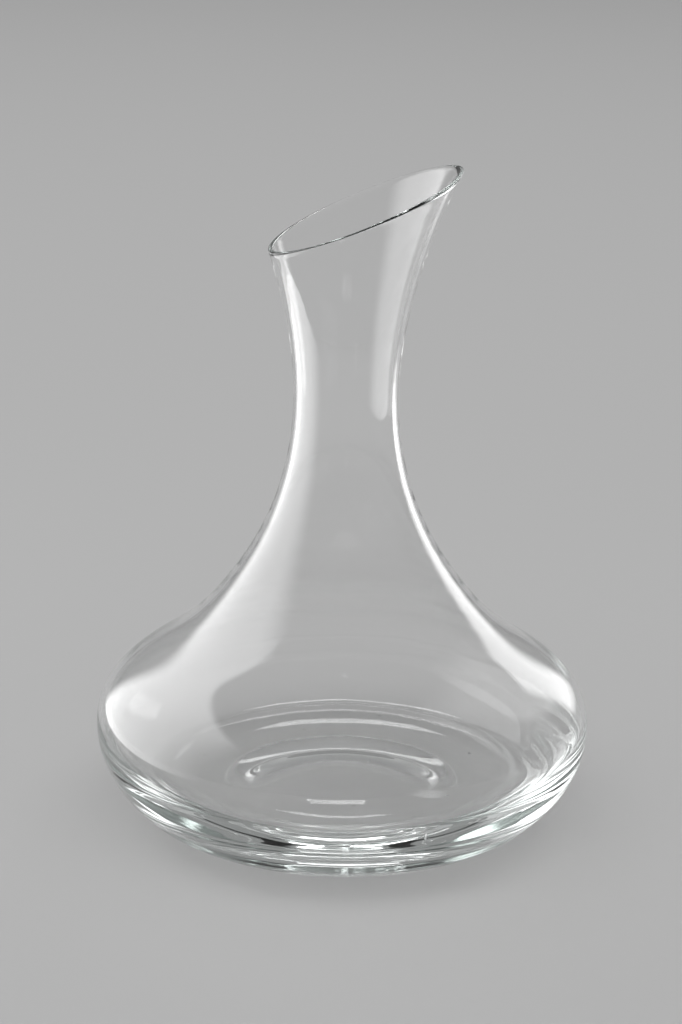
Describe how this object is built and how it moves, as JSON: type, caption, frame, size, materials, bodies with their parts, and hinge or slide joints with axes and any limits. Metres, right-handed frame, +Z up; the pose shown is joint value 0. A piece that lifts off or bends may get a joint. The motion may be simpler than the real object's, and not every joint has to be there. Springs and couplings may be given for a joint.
{
  "type": "wine decanter",
  "caption": "Clear glass wine decanter: wide low bowl, slim waisted neck that flares to a slant-cut pouring lip, thick base with a shallow punt.",
  "frame": {"origin": "centre of the foot ring, on the surface that the vessel stands on", "axes": "+Z up the vessel's own axis; +X towards the high side of the slanted mouth, where the wine pours"},
  "size_m": [0.196, 0.196, 0.2617],
  "materials": {
    "clear_glass": "clear colourless blown glass, fire-polished and smooth"
  },
  "bodies": {
    "root": {"glass_vessel": "clear_glass"}
  },
  "joints": []
}
